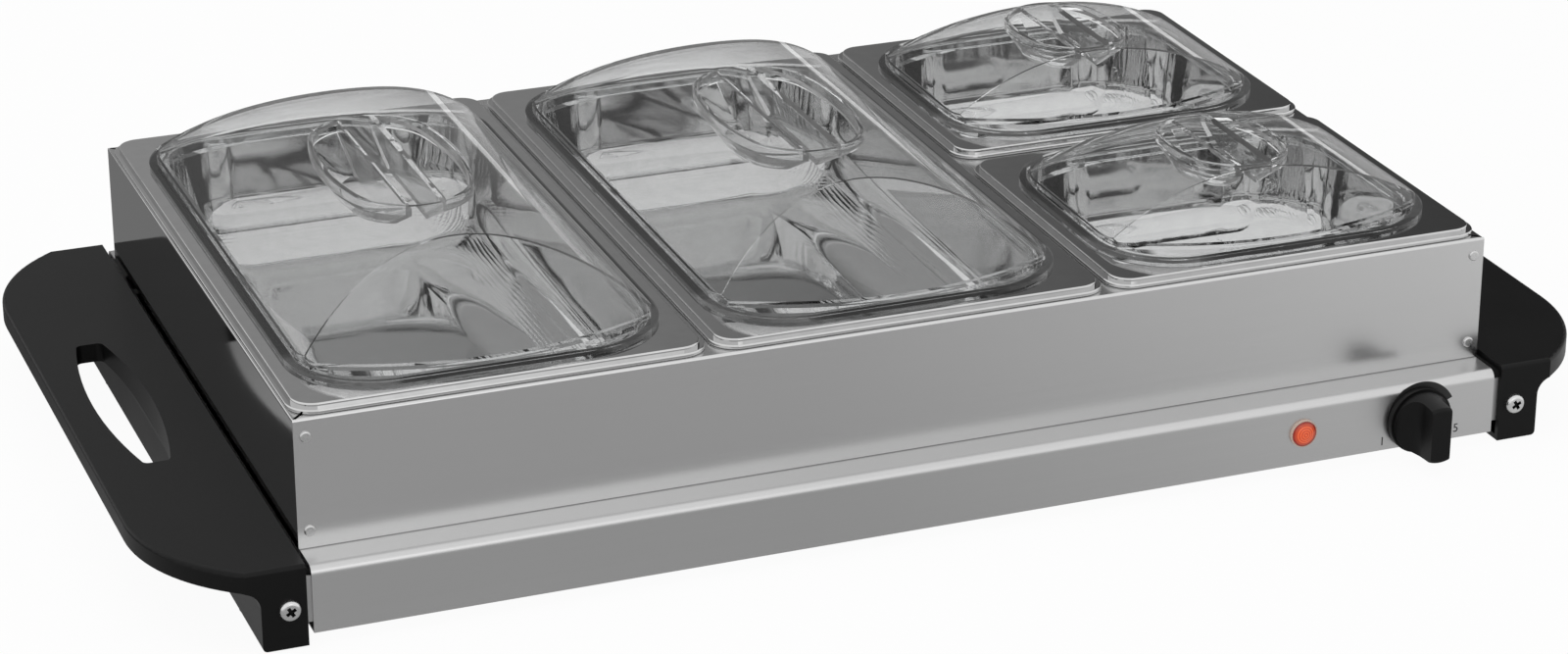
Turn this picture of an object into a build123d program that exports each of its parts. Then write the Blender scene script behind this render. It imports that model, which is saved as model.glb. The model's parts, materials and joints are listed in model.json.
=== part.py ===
from build123d import *
from math import sqrt
import os

# Buffet warmer: a heated base with two plastic handles, a lift-off frame, four food pans and four clear lids.
# Millimetres, +Z up, floor at z = 0, long side along X, control knob facing -Y.

# Overall sizes
overall_length = 672.0
frame_width = 335.0
frame_height = 58.0
ledge_width = 17.4
skirt_height = 29.7
skirt_lift = 4.3
foot_drop = 1.5

# Base cover, one folded sheet with a skirt in front and behind
cover_sheet = 0.8
cover_bend = 4.0
return_flange = 12.0

# Pan frame, four riveted sheet panels and three dividers
frame_overhang = 0.5
frame_sheet = 0.8
frame_bend = 1.2
lip_width = 14.0
hem_width = 9.0
mitre_gap = 2.0
tab_width = 13.0
divider_width = 24.0
divider_leg = 12.0
rivet_side_inset = 5.0
rivet_end_inset = 8.0
rivet_head_r = 2.4
rivet_head_height = 0.9
rivet_shank_r = 1.6
rivet_hole_gap = 0.1
rivet_tail_height = 0.8

# Food pans
lip_show = 1.6
end_lip_show = 0.5
pan_gap = 2.0
small_pan_gap = 8.0
pan_sheet = 0.8
pan_corner = 12.0
rim_step = 2.0
rim_step_in = 2.4
rim_round = 0.7
rim_hem = 1.6
hem_round = 0.8
well_inset = 15.0
well_corner = 34.0
well_mouth_round = 1.6
pan_floor_gap = 7.0
pan_floor_round = 13.0
pan_draft_deg = 6.0

# Clear lids
lid_inset = 9.0
lid_corner = 40.0
lid_flange = 4.0
lid_flange_height = 2.0
lid_skin = 2.0
lid_wall = 5.0
lid_lip_drop = 4.0
lid_lip_gap = 0.8
end_run = 59.0
end_rise = 32.5
end_bulge = 3.0
large_crown = 36.8
large_ring_top = 37.2
large_ring_x = 31.8
large_ring_y = 59.0
large_ring_end_r = 28.0
large_floor_x = 20.5
large_floor_y = 31.0
large_floor_end_r = 18.0
large_pocket_depth = 17.0
small_crown = 25.8
small_ring_top = 26.7
small_ring_x = 26.2
small_ring_y = 35.8
small_ring_end_r = 25.0
small_floor_x = 18.0
small_floor_y = 21.0
small_floor_end_r = 16.5
small_pocket_depth = 13.0
grip_bar = 18.0
pocket_brim = 6.0
ring_round = 0.8
cup_gap = 0.3

# Handle mouldings
plate_rise = 2.4
plate_thickness = 8.8
plate_skin = 3.0
plate_edge_round = 1.8
plate_side_arc = 81.0
plate_bow_over = 14.5
rib_thickness = 2.0
rib_pitch = 46.0
handle_reach = 40.55
leg_gap = 2.65
leg_width = 19.3
leg_proud = 1.6
leg_fillet = 8.0
leg_corner = 2.0
hole_half_length = 67.5
hole_half_width = 13.0
hole_end_half_width = 5.7
hole_wall_gap = 0.4
hole_corner = 3.0

# Handle screws and their brackets
handle_screw_height = 13.1
handle_screw_inset = 11.85
handle_screw_r = 2.0
handle_screw_length = 12.0
handle_screw_head_r = 4.6
handle_screw_head_height = 2.6
recess_depth = 1.6
recess_turn_deg = 30.0
bracket_sheet = 1.0
bracket_reach = 14.0
bracket_end_gap = 1.5
bracket_foot_gap = 1.0

# Rubber feet
foot_r = 6.0
foot_edge_inset = 7.0
foot_front_inset = 43.0
foot_back_inset = 80.0
foot_plug_r = 2.5
foot_edge_round = 0.6

# Bottom plate and its screws
bottom_sheet = 0.8
bottom_side_gap = 0.6
bottom_end_gap = 2.0
vent_length = 40.0
vent_width = 4.0
vent_pitch_x = 58.0
vent_pitch_y = 150.0
vent_columns = 7
vent_rows = 2
bottom_screw_end_inset = 19.5
bottom_screws_a_side = 4
bottom_screw_r = 1.5
bottom_screw_length = 8.0
bottom_screw_head_r = 3.0
bottom_screw_head_height = 1.6

# Heater under the cover
spreader_end_gap = 58.5
spreader_side_gap = 34.1
spreader_thickness = 2.0
element_r = 3.3
element_run_inset = 25.0
element_row_inset = 30.0
element_bend = 28.0
element_end_inset = 10.0
pin_r = 1.5
pin_length = 12.0
clamp_width = 14.0
clamp_wall = 1.5
clamp_foot = 7.0
clamp_gap = 0.1
clamp_end_inset = 90.0
shield_end_inset = 15.0
shield_side_inset = 5.0
shield_sheet = 0.6
shield_height = 12.0

# Control: thermostat, knob and their fits
knob_end_inset = 38.5
knob_height = 19.0
bush_r = 4.6
bush_hole_gap = 0.2
bush_out = 3.4
bush_flange_r = 9.0
bush_flange_height = 1.5
nut_across_r = 6.6
nut_height = 2.2
shaft_r = 3.0
shaft_gap = 0.1
shaft_flat_depth = 0.9
shaft_out = 16.0
shaft_in = 9.0
thermostat_width = 30.0
thermostat_height = 20.0
thermostat_depth = 22.0
blade_width = 5.0
blade_sheet = 0.8
blade_length = 8.0
blade_half_pitch = 6.0
knob_air = 0.7
knob_r = 15.2
knob_plate = 3.2
knob_top_r = 13.2
knob_length = 21.5
knob_edge_round = 1.6
grip_width = 9.6
scoop_r = 8.5
knob_cavity_r = 9.5
knob_cavity = 4.6
socket_end_gap = 0.3

# Indicator lamp
lamp_from_knob = 57.2
lamp_height = 20.9
bezel_r = 6.5
bezel_height = 1.4
bezel_round = 0.4
lens_r = 5.7
lens_dome = 1.6
lamp_body_r = 4.8
lamp_fit_gap = 0.2
lamp_body_length = 15.0

# Wiring and cord inlet
inlet_end_inset = 48.5
inlet_height = 18.9
inlet_bore_r = 3.75
inlet_neck_r = 6.0
inlet_flange_r = 9.0
inlet_flange_height = 2.2
inlet_groove_gap = 0.1
terminal_length = 34.0
terminal_depth = 20.0
terminal_height = 14.0
terminal_post_r = 3.4
terminal_post_height = 2.5
terminal_from_skirt = 34.0
terminal_post_pitch = 11.0
wire_r = 1.3
wire_bend = 7.0
wire_low = 14.0
wire_side = 8.0
wire_drop_run = 30.0
wire_end_gap = 0.3
fuse_r = 2.6
fuse_length = 22.0
fuse_from_pin = 24.0
fuse_tail = 28.0

# Small values shared by many pieces: edge rounds, screw clearance and one overrun for every cut
edge_round = 0.7
screw_hole_gap = 0.2
overrun = 5.0

# Shares of a form, with no length of their own
dome_share = 0.75
recess_share = 0.34
element_row_share = 1 / 3

# Places that follow from the sizes above
leg_bottom = foot_drop
skirt_bottom = leg_bottom + skirt_lift
ledge_top = skirt_bottom + skirt_height
cover_under = ledge_top - cover_sheet
frame_top = ledge_top + frame_height
flange_top = frame_top + 2 * rim_step
pan_depth = flange_top - ledge_top - pan_floor_gap
cover_depth = frame_width + 2 * ledge_width
skirt_face = cover_depth / 2
skirt_inside = skirt_face - cover_sheet
handle_face = skirt_face + leg_proud
leg_wall = leg_proud + cover_sheet
plate_side_straight = handle_face + plate_bow_over - plate_side_arc
leg_outer = overall_length / 2 - handle_reach
leg_inner = leg_outer - leg_width
cover_length = 2 * (leg_inner - leg_gap)
frame_length = cover_length + 2 * frame_overhang
plate_top = ledge_top + plate_rise
plate_under = plate_top - plate_thickness
screw_x = leg_outer - handle_screw_inset
screw_z = leg_bottom + skirt_lift + handle_screw_height
bottom_top = skirt_bottom + cover_sheet + bottom_sheet
bottom_screw_pitch = (cover_length - 2 * bottom_screw_end_inset) / (bottom_screws_a_side - 1)
spreader_length = cover_length - 2 * spreader_end_gap
spreader_width = 2 * (skirt_inside - spreader_side_gap)
spreader_under = cover_under - spreader_thickness
element_z = spreader_under - element_r
element_run = spreader_length / 2 - element_run_inset
element_end = spreader_length / 2 - element_end_inset
element_outer_row = spreader_width / 2 - element_row_inset
element_inner_row = element_outer_row * element_row_share
clamp_half_pitch = element_run - clamp_end_inset
shield_length = spreader_length - 2 * shield_end_inset
shield_width = spreader_width - 2 * shield_side_inset
knob_x = cover_length / 2 - knob_end_inset
lamp_x = knob_x - lamp_from_knob
inlet_x = cover_length / 2 - inlet_end_inset
pan_width = (frame_length - 2 * end_lip_show - 2 * pan_gap) / 3
large_pan_length = frame_width - 2 * lip_show
small_pan_length = (large_pan_length - small_pan_gap) / 2
bay_pitch = pan_width + pan_gap
small_pan_y = (small_pan_length + small_pan_gap) / 2
end_radius = large_pan_length / 2 - lid_inset - lid_flange
knob_front = skirt_face + knob_air + knob_length
screw_back = handle_face + handle_screw_head_height
body_y = (knob_front - screw_back) / 2

low = (Align.CENTER, Align.CENTER, Align.MIN)


def block(length, width, height, x=0.0, y=0.0, z=0.0):
    return Pos(x, y, z) * Box(length, width, height, align=low)


def rod(radius, length, z=0.0):
    return Pos(0, 0, z) * Cylinder(radius, length, align=low)


def rounded_slab(width, length, radius, z_low, z_high):
    return Pos(0, 0, z_low) * extrude(RectangleRounded(width, length, radius), z_high - z_low)


def facing_front(shape, x, y, z):
    return Pos(x, y, z) * Rot(90, 0, 0) * shape


def facing_back(shape, x, y, z):
    return Pos(x, y, z) * Rot(-90, 0, 0) * shape


# Base cover: flat warming top with rounded front and back edges, skirts and return flanges
def top_cover():
    outer = block(cover_length, cover_depth, skirt_height, z=skirt_bottom)
    outer = fillet(outer.edges().filter_by(Axis.X).group_by(Axis.Z)[-1], cover_bend)
    inner = block(cover_length + overrun, 2 * skirt_inside, cover_under - skirt_bottom + overrun,
                  z=skirt_bottom - overrun)
    inner = fillet(inner.edges().filter_by(Axis.X).group_by(Axis.Z)[-1], cover_bend - cover_sheet)
    cover = outer - inner
    for side in (-1, 1):
        flange_y = side * (skirt_face - return_flange / 2)
        cover += block(cover_length, return_flange, cover_sheet, y=flange_y, z=skirt_bottom)
    through = rod(bush_r + bush_hole_gap, 2 * overrun, z=-overrun)
    cover -= facing_front(through, knob_x, -skirt_face, knob_height)
    through = rod(lamp_body_r + lamp_fit_gap, 2 * overrun, z=-overrun)
    cover -= facing_front(through, lamp_x, -skirt_face, lamp_height)
    through = rod(inlet_neck_r + inlet_groove_gap, 2 * overrun, z=-overrun)
    cover -= facing_back(through, inlet_x, skirt_face, inlet_height)
    for place in bottom_screw_places():
        cover -= place * rod(bottom_screw_r + screw_hole_gap, 2 * overrun, z=-overrun)
    return cover


# Bottom plate with vent slots, held to the return flanges by screws from below
def bottom_screw_places():
    row_y = skirt_inside - return_flange / 2
    grid = GridLocations(bottom_screw_pitch, 2 * row_y, bottom_screws_a_side, 2)
    return [Pos(0, 0, skirt_bottom) * place for place in grid]


def bottom_plate():
    plate = block(cover_length - 2 * bottom_end_gap, 2 * (skirt_inside - bottom_side_gap), bottom_sheet,
                  z=bottom_top - bottom_sheet)
    for place in GridLocations(vent_pitch_x, vent_pitch_y, vent_columns, vent_rows):
        slot = extrude(SlotOverall(vent_length, vent_width), 2 * overrun, both=True)
        plate -= Pos(0, 0, bottom_top) * place * slot
    for place in bottom_screw_places():
        plate -= place * rod(bottom_screw_r + screw_hole_gap, 2 * overrun, z=-overrun)
    return plate


def bottom_plate_screws():
    head = rod(bottom_screw_head_r, bottom_screw_head_height, z=-bottom_screw_head_height)
    screw = head + rod(bottom_screw_r, bottom_screw_length)
    return Compound([place * screw for place in bottom_screw_places()])


# End bracket: a web across each end of the cover with ears that take the handle screws
def right_end_bracket():
    ear_reach = leg_outer - leg_wall - bracket_end_gap
    web_x = cover_length / 2 - bracket_reach
    web_height = ledge_top - cover_bend - bottom_top
    bracket = block(bracket_sheet, 2 * skirt_inside, web_height, x=web_x, z=bottom_top)
    ear_length = ear_reach - web_x
    ear_height = web_height - leg_wall - bracket_foot_gap
    for side in (-1, 1):
        ear = block(ear_length, bracket_sheet, ear_height, x=web_x + ear_length / 2,
                    y=side * (skirt_inside - bracket_sheet / 2), z=ledge_top - cover_bend - ear_height)
        hole = rod(handle_screw_r + screw_hole_gap, 2 * overrun, z=-overrun)
        bracket += ear
        bracket -= facing_front(hole, screw_x, side * skirt_inside, screw_z)
    return bracket


# Handle: a carrying plate with a lens-shaped hand hole, and a hollow leg box that closes the base's end
def hand_hole():
    centre = leg_outer + hole_wall_gap + hole_half_width
    left = centre - hole_half_width
    right = centre + hole_half_width
    end_left = centre - hole_end_half_width
    end_right = centre + hole_end_half_width
    outline = [
        ThreePointArc((end_left, hole_half_length), (left, 0), (end_left, -hole_half_length)),
        Line((end_left, -hole_half_length), (end_right, -hole_half_length)),
        ThreePointArc((end_right, -hole_half_length), (right, 0), (end_right, hole_half_length)),
        Line((end_right, hole_half_length), (end_left, hole_half_length)),
    ]
    return fillet(make_face(outline).vertices(), hole_corner)


def plate_outline(shrink=0.0):
    tip = overall_length / 2 - shrink
    width = tip - leg_inner
    arc = plate_side_arc - shrink
    strip = Pos(leg_inner + width / 2, 0) * Rectangle(width, 2 * (handle_face - shrink))
    bow_length = 2 * (plate_side_straight + arc)
    bow_width = width + 2 * plate_side_arc
    bow = Pos(tip - bow_width / 2, 0) * RectangleRounded(bow_width, bow_length, arc)
    return strip & bow


def plate_pockets():
    inner = plate_outline(plate_skin)
    pocket_from = leg_outer + leg_fillet
    reach = overall_length / 2 - pocket_from
    inner &= Pos(pocket_from + reach / 2, 0) * Rectangle(reach, 2 * handle_face)
    inner -= offset(hand_hole(), plate_skin)
    rib_count = int(2 * handle_face / rib_pitch)
    for place in GridLocations(rib_pitch, rib_pitch, 1, rib_count):
        inner -= Pos(pocket_from + reach / 2, place.position.Y) * Rectangle(2 * reach, rib_thickness)
    return inner


def right_handle():
    plate = Pos(0, 0, plate_under) * extrude(plate_outline(), plate_thickness)
    rim = plate.faces().sort_by(Axis.Z)[-1].edges().filter_by(lambda e: e.center().X > leg_inner + leg_gap)
    plate = fillet(rim, plate_edge_round)
    legs = block(leg_width, 2 * handle_face, plate_under - leg_bottom + plate_skin,
                 x=leg_inner + leg_width / 2, z=leg_bottom)
    toe = legs.edges().filter_by(Axis.Y).group_by(Axis.Z)[0].sort_by(Axis.X)[-1]
    legs = fillet(toe, leg_corner)
    body = plate + legs
    throat = body.edges().filter_by(Axis.Y)
    throat = throat.filter_by_position(Axis.Z, plate_under - edge_round, plate_under + edge_round)
    throat = throat.filter_by_position(Axis.X, leg_outer - edge_round, leg_outer + edge_round)
    body = fillet(throat, leg_fillet)
    hollow_height = plate_top - plate_skin - leg_bottom - leg_wall
    hollow_length = leg_width - leg_wall + overrun
    body -= block(hollow_length, 2 * skirt_inside, hollow_height,
                  x=leg_outer - leg_wall - hollow_length / 2, z=leg_bottom + leg_wall)
    cut_depth = plate_thickness + leg_fillet
    body -= Pos(0, 0, plate_top - cut_depth) * extrude(hand_hole(), cut_depth + overrun)
    body -= Pos(0, 0, plate_under - overrun) * extrude(plate_pockets(), plate_thickness - plate_skin + overrun)
    for side in (-1, 1):
        hole = rod(handle_screw_r + screw_hole_gap, 2 * overrun, z=-overrun)
        body -= facing_front(hole, screw_x, side * handle_face, screw_z)
    for foot_y in foot_rows():
        body -= Pos(leg_outer - foot_edge_inset, foot_y, leg_bottom) * rod(foot_plug_r, 2 * overrun, z=-overrun)
    return body


def pan_head_screw(radius, length, head_r, head_height):
    head = rod(head_r, head_height)
    head = fillet(head.edges().group_by(Axis.Z)[-1], head_height - edge_round)
    recess_width = head_r * recess_share
    for turn in (recess_turn_deg, recess_turn_deg + 90):
        arm = Rot(0, 0, turn) * Rectangle(head_r, recess_width)
        head -= Pos(0, 0, head_height - recess_depth) * extrude(arm, head_height)
    return head + rod(radius, length, z=-length)


def handle_screws():
    screw = pan_head_screw(handle_screw_r, handle_screw_length, handle_screw_head_r, handle_screw_head_height)
    screws = []
    for x in (-screw_x, screw_x):
        screws.append(facing_front(screw, x, -handle_face, screw_z))
        screws.append(facing_back(screw, x, handle_face, screw_z))
    return Compound(screws)


# Rubber feet plugged into the leg floors
def foot_rows():
    return (foot_front_inset - handle_face, handle_face - foot_back_inset)


def rubber_feet():
    pad = rod(foot_r, foot_drop)
    pad = fillet(pad.edges().group_by(Axis.Z)[0], foot_edge_round)
    foot = pad + rod(foot_plug_r, leg_wall, z=foot_drop)
    foot_x = leg_outer - foot_edge_inset
    return Compound([Pos(x, y, 0) * foot for x in (-foot_x, foot_x) for y in foot_rows()])


# Heater: spreader plate, bent tube with cold pins, clamps and a heat shield
def heat_spreader():
    return block(spreader_length, spreader_width, spreader_thickness, z=spreader_under)


def heating_element():
    far = -element_run
    route = FilletPolyline(
        (element_end, -element_outer_row), (far, -element_outer_row), (far, -element_inner_row),
        (element_run, -element_inner_row), (element_run, element_inner_row), (far, element_inner_row),
        (far, element_outer_row), (element_end, element_outer_row), radius=element_bend)
    tube = sweep(Plane(origin=route @ 0, z_dir=route % 0) * Circle(element_r), path=route)
    for row in (-element_outer_row, element_outer_row):
        tube += Pos(element_end, row, 0) * Rot(0, 90, 0) * rod(pin_r, pin_length)
    return Pos(0, 0, element_z) * tube


def element_clamps():
    half_span = element_r + clamp_wall
    drop = 2 * element_r + clamp_wall
    strap = block(clamp_width, 2 * half_span, drop, z=spreader_under - drop)
    strap += block(clamp_width, 2 * (half_span + clamp_foot), clamp_wall, z=spreader_under - clamp_wall)
    channel = Rot(0, 90, 0) * Cylinder(element_r + clamp_gap, clamp_width + overrun)
    mouth = block(clamp_width + overrun, 2 * (element_r + clamp_gap), element_r + overrun)
    strap -= Pos(0, 0, element_z) * (channel + mouth)
    rows = (-element_outer_row, -element_inner_row, element_inner_row, element_outer_row)
    columns = (-clamp_half_pitch, clamp_half_pitch)
    return Compound([Pos(x, y, 0) * strap for x in columns for y in rows])


def heat_shield():
    shield = block(shield_length, shield_width, shield_height, z=bottom_top)
    return shield - block(shield_length + overrun, shield_width - 2 * shield_sheet, shield_height - shield_sheet,
                          z=bottom_top)


# Control: thermostat with a threaded bush through the skirt, its nut, D shaft and knob
def d_section(radius):
    flat = radius - shaft_flat_depth
    return Circle(radius) - Pos(0, flat + radius) * Rectangle(2 * radius, 2 * radius)


def thermostat_body():
    case_z = -thermostat_depth - bush_flange_height
    case = block(thermostat_width, thermostat_height, thermostat_depth, z=case_z)
    flange = rod(bush_flange_r, bush_flange_height, z=-bush_flange_height)
    bush = rod(bush_r, cover_sheet + bush_out)
    body = case + flange + bush
    body -= rod(shaft_r + shaft_gap, shaft_in + bush_out + cover_sheet + overrun, z=-shaft_in - shaft_gap)
    for x in (-blade_half_pitch, blade_half_pitch):
        body += block(blade_width, blade_sheet, blade_length, x=x, z=case_z - blade_length)
    return facing_front(body, knob_x, -skirt_inside, knob_height)


def thermostat_nut():
    nut = extrude(RegularPolygon(nut_across_r, 6), nut_height)
    nut -= rod(bush_r + bush_hole_gap, 2 * overrun, z=-overrun)
    return facing_front(nut, knob_x, -skirt_face, knob_height)


def thermostat_shaft():
    shaft = rod(shaft_r, shaft_in + cover_sheet + bush_out, z=-shaft_in - cover_sheet)
    shaft += Pos(0, 0, bush_out) * extrude(d_section(shaft_r), shaft_out - bush_out)
    return facing_front(shaft, knob_x, -skirt_face, knob_height)


def control_knob():
    knob = rod(knob_r, knob_plate)
    shoulder = (knob_r + knob_top_r) / 2
    dome = make_face([
        Line((0, knob_plate), (shoulder, knob_plate)),
        Line((shoulder, knob_plate), (knob_top_r, knob_length)),
        Line((knob_top_r, knob_length), (0, knob_length)),
        Line((0, knob_length), (0, knob_plate)),
    ])
    dome = revolve(Plane.XZ * dome, Axis.Z)
    dome = fillet(dome.edges().group_by(Axis.Z)[-1], knob_edge_round)
    scoop_floor = knob_plate + knob_edge_round
    scoop_x = grip_width / 2 + scoop_r
    for side in (-1, 1):
        scoop = Rot(90, 0, 0) * Cylinder(scoop_r, 2 * knob_r + overrun)
        rise = block(2 * scoop_r, 2 * knob_r + overrun, knob_length)
        dome -= Pos(side * scoop_x, 0, scoop_floor + scoop_r) * (scoop + rise)
    knob += dome
    brim = knob.edges().filter_by(GeomType.CIRCLE).group_by(Axis.Z)[0].sort_by(SortBy.RADIUS)[-1:]
    knob = fillet(brim, edge_round)
    knob -= rod(knob_cavity_r, knob_cavity + overrun, z=-overrun)
    socket_end = shaft_out - knob_air + socket_end_gap
    knob -= Pos(0, 0, knob_cavity) * extrude(d_section(shaft_r + shaft_gap), socket_end - knob_cavity)
    return facing_front(knob, knob_x, -skirt_face - knob_air, knob_height)


# Indicator lamp: bezel ring, domed lens and the lamp body behind the skirt
def lamp_bezel():
    ring = rod(bezel_r, bezel_height)
    ring = fillet(ring.edges().group_by(Axis.Z)[-1], bezel_round)
    ring -= rod(lens_r + lamp_fit_gap, 2 * overrun, z=-overrun)
    return facing_front(ring, lamp_x, -skirt_face, lamp_height)


def lamp_lens():
    cap_r = (lens_r ** 2 + lens_dome ** 2) / (2 * lens_dome)
    lens = rod(lens_r, bezel_height + lens_dome)
    lens &= Pos(0, 0, bezel_height + lens_dome - cap_r) * Sphere(cap_r)
    return facing_front(lens, lamp_x, -skirt_face, lamp_height)


def lamp_body():
    body = rod(lamp_body_r, lamp_body_length, z=-lamp_body_length)
    return facing_front(body, lamp_x, -skirt_face, lamp_height)


# Wiring: cord inlet bush, terminal block, in-line thermal fuse and lead wires
def cord_inlet():
    outer = rod(inlet_flange_r, inlet_flange_height)
    outer = fillet(outer.edges().group_by(Axis.Z)[-1], edge_round)
    inner = rod(inlet_flange_r, inlet_flange_height, z=-cover_sheet - inlet_flange_height)
    bush = outer + inner + rod(inlet_neck_r, cover_sheet, z=-cover_sheet)
    bush -= rod(inlet_bore_r, 2 * overrun, z=-overrun)
    return facing_back(bush, inlet_x, skirt_face, inlet_height)


def terminal_block():
    body = block(terminal_length, terminal_depth, terminal_height)
    for x in (-terminal_post_pitch, 0, terminal_post_pitch):
        body += Pos(x, 0, 0) * rod(terminal_post_r, terminal_post_height, z=terminal_height)
    return Pos(inlet_x, terminal_y(), bottom_top) * body


def terminal_y():
    return skirt_inside - terminal_from_skirt


def wire(*points):
    route = FilletPolyline(*points, radius=wire_bend)
    return sweep(Plane(origin=route @ 0, z_dir=route % 0) * Circle(wire_r), path=route)


def lead_wires():
    blade_tip = wire_end_gap - skirt_inside + bush_flange_height + thermostat_depth + blade_length
    pin_tip = element_end + pin_length
    low_blade = knob_x - blade_half_pitch
    high_blade = knob_x + blade_half_pitch
    block_face = terminal_y() - terminal_depth / 2 - wire_end_gap
    fuse_start = element_outer_row - fuse_from_pin
    fuse_end = fuse_start - fuse_length
    turn_y = fuse_end - fuse_tail
    front = wire((low_blade, blade_tip, knob_height), (low_blade, -element_outer_row, element_z),
                 (pin_tip, -element_outer_row, element_z))
    back = wire((pin_tip, element_outer_row, element_z), (low_blade, element_outer_row, element_z),
                (low_blade, fuse_start, element_z))
    tail = wire((low_blade, fuse_end, element_z), (low_blade, turn_y, element_z),
                (low_blade - wire_side, turn_y, wire_low), (inlet_x - terminal_post_pitch, block_face, wire_low))
    long_lead = wire((high_blade, blade_tip, knob_height), (high_blade, blade_tip + wire_drop_run, wire_low),
                     (inlet_x + terminal_post_pitch, block_face, wire_low))
    return Compound([front, back, tail, long_lead])


def thermal_fuse():
    fuse_start = element_outer_row - fuse_from_pin
    return facing_front(rod(fuse_r, fuse_length), knob_x - blade_half_pitch, fuse_start, element_z)


# Pan frame panels with mitred top lips, corner tabs and bottom hems
def edge_strip(length, width, corner_cut):
    half = length / 2
    points = [(-half, 0), (half, 0), (half - corner_cut, width), (-half + corner_cut, width)]
    return make_face(Polyline(*points, close=True))


def frame_panel(length, width_to_face, wall_length):
    lip = extrude(edge_strip(length - mitre_gap, lip_width, lip_width), frame_sheet)
    hem = extrude(edge_strip(wall_length - 2 * tab_width, hem_width, 0), frame_sheet)
    wall = block(wall_length, frame_sheet, frame_height, y=frame_sheet / 2)
    panel = wall + Pos(0, 0, frame_height - frame_sheet) * lip + hem
    bend = panel.edges().filter_by(Axis.X).group_by(Axis.Z)[-1].sort_by(Axis.Y)[0]
    panel = fillet(bend, frame_bend)
    return Pos(0, -width_to_face, ledge_top) * panel


def rivet_rows():
    return (ledge_top + rivet_end_inset, frame_top - rivet_end_inset)


def rivet_holes(shape):
    rivet_x = frame_length / 2 - rivet_side_inset
    for x in (-rivet_x, rivet_x):
        for z in rivet_rows():
            hole = rod(rivet_shank_r + rivet_hole_gap, frame_width + overrun)
            shape -= facing_front(hole, x, (frame_width + overrun) / 2, z)
    return shape


def frame_front():
    return rivet_holes(frame_panel(frame_length, frame_width / 2, frame_length))


def frame_right():
    wall_length = frame_width - 2 * frame_sheet
    side = Rot(0, 0, 90) * frame_panel(frame_width, frame_length / 2, wall_length)
    tab_height = frame_height - 2 * (frame_sheet + mitre_gap)
    for end in (-1, 1):
        tab = block(tab_width, frame_sheet, tab_height, x=(frame_length - tab_width) / 2,
                    y=end * (wall_length - frame_sheet) / 2, z=ledge_top + frame_sheet + mitre_gap)
        side += tab
    return rivet_holes(side)


def frame_rivets():
    dome = rod(rivet_head_r, rivet_head_height)
    dome = fillet(dome.edges().group_by(Axis.Z)[-1], rivet_head_height * dome_share)
    grip = 2 * frame_sheet
    rivet = dome + rod(rivet_shank_r, grip, z=-grip)
    rivet += rod(rivet_head_r, rivet_tail_height, z=-grip - rivet_tail_height)
    rivet_x = frame_length / 2 - rivet_side_inset
    rivets = []
    for x in (-rivet_x, rivet_x):
        for z in rivet_rows():
            rivets.append(facing_front(rivet, x, -frame_width / 2, z))
            rivets.append(facing_back(rivet, x, frame_width / 2, z))
    return Compound(rivets)


def divider(top_length, leg_length):
    bar = block(divider_width, top_length, frame_sheet, z=frame_top - frame_sheet)
    for side in (-1, 1):
        leg_x = side * (divider_width - frame_sheet) / 2
        bar += block(frame_sheet, leg_length, divider_leg, x=leg_x, z=frame_top - frame_sheet - divider_leg)
    return bar


def bay_divider(x):
    return Pos(x, 0, 0) * divider(frame_width - 2 * lip_width, frame_width - 2 * frame_sheet)


def small_pan_divider():
    start = bay_pitch / 2 + divider_width / 2
    top_length = frame_length / 2 - lip_width - start
    leg_length = frame_length / 2 - frame_sheet - start
    bar = Pos(start + top_length / 2, 0, 0) * Rot(0, 0, 90) * divider(top_length, top_length)
    for side in (-1, 1):
        leg_y = side * (divider_width - frame_sheet) / 2
        bar += block(leg_length, frame_sheet, divider_leg, x=start + leg_length / 2, y=leg_y,
                     z=frame_top - frame_sheet - divider_leg)
    return bar


# Food pan: two-step hemmed rim, flat flange and a drafted tub with a rounded floor
def tub(width, length, corner, depth, floor_round):
    mouth = Pos(0, 0, 2 * rim_step) * RectangleRounded(width, length, corner)
    body = extrude(mouth, depth, dir=(0, 0, -1), taper=pan_draft_deg)
    floor = body.faces().sort_by(Axis.Z)[0]
    return fillet(floor.edges(), floor_round)


def food_pan(length):
    width = pan_width
    low_step = rounded_slab(width, length, pan_corner, 0, rim_step)
    low_step = fillet(low_step.edges().group_by(Axis.Z)[-1], rim_round)
    low_step = fillet(low_step.edges().group_by(Axis.Z)[0], hem_round)
    top_width = width - 2 * rim_step_in
    top_length = length - 2 * rim_step_in
    high_step = rounded_slab(top_width, top_length, pan_corner - rim_step_in, rim_round, 2 * rim_step)
    high_step = fillet(high_step.edges().group_by(Axis.Z)[-1], rim_round)
    well_width = width - 2 * well_inset
    well_length = length - 2 * well_inset
    wall = 2 * pan_sheet
    outer_tub = tub(well_width + wall, well_length + wall, well_corner + pan_sheet, pan_depth, pan_floor_round)
    inner_tub = tub(well_width, well_length, well_corner, pan_depth - pan_sheet, pan_floor_round - pan_sheet)
    under = rounded_slab(width - 2 * rim_hem, length - 2 * rim_hem, pan_corner - rim_hem,
                         -overrun, rim_step - pan_sheet)
    under += rounded_slab(top_width - wall, top_length - wall, pan_corner - rim_step_in - pan_sheet,
                          -overrun, 2 * rim_step - pan_sheet)
    pan = low_step + high_step - under + outer_tub - inner_tub
    mouth = pan.faces().filter_by(Axis.Z).sort_by(Axis.Z)[-1].inner_wires()[0]
    pan = fillet(mouth.edges(), well_mouth_round)
    return Pos(0, 0, frame_top) * pan


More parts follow.
